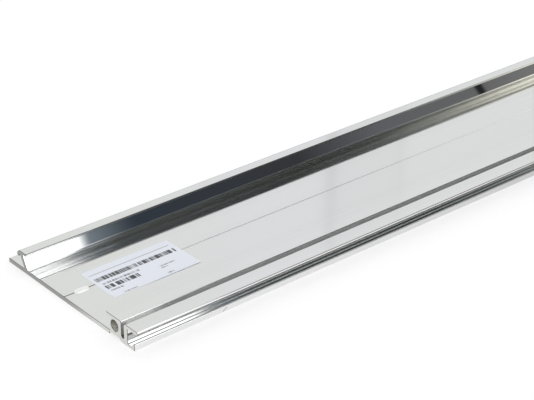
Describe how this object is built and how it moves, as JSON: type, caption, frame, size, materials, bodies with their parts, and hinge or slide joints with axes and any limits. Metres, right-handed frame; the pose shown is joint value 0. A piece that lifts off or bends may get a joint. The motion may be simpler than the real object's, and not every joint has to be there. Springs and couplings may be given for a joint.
{
  "type": "aluminium extrusion profile",
  "caption": "Flat extruded aluminium mounting rail with a module hook along one side, a 35 mm device rail along the other and slotted fixing holes near its sawn ends.",
  "frame": {"origin": "middle of the back face, halfway along the stock and halfway across its full width", "axes": "+X along the stock, +Y across it towards the module hook, +Z out of the back face towards the modules; it lies on its back face"},
  "size_m": [0.83, 0.155, 0.0157],
  "materials": {
    "bright_aluminium": "bright extruded",
    "label_paper": "matt"
  },
  "bodies": {
    "root": {"mounting_rail": "bright_aluminium", "paper_label": "label_paper"}
  },
  "joints": []
}
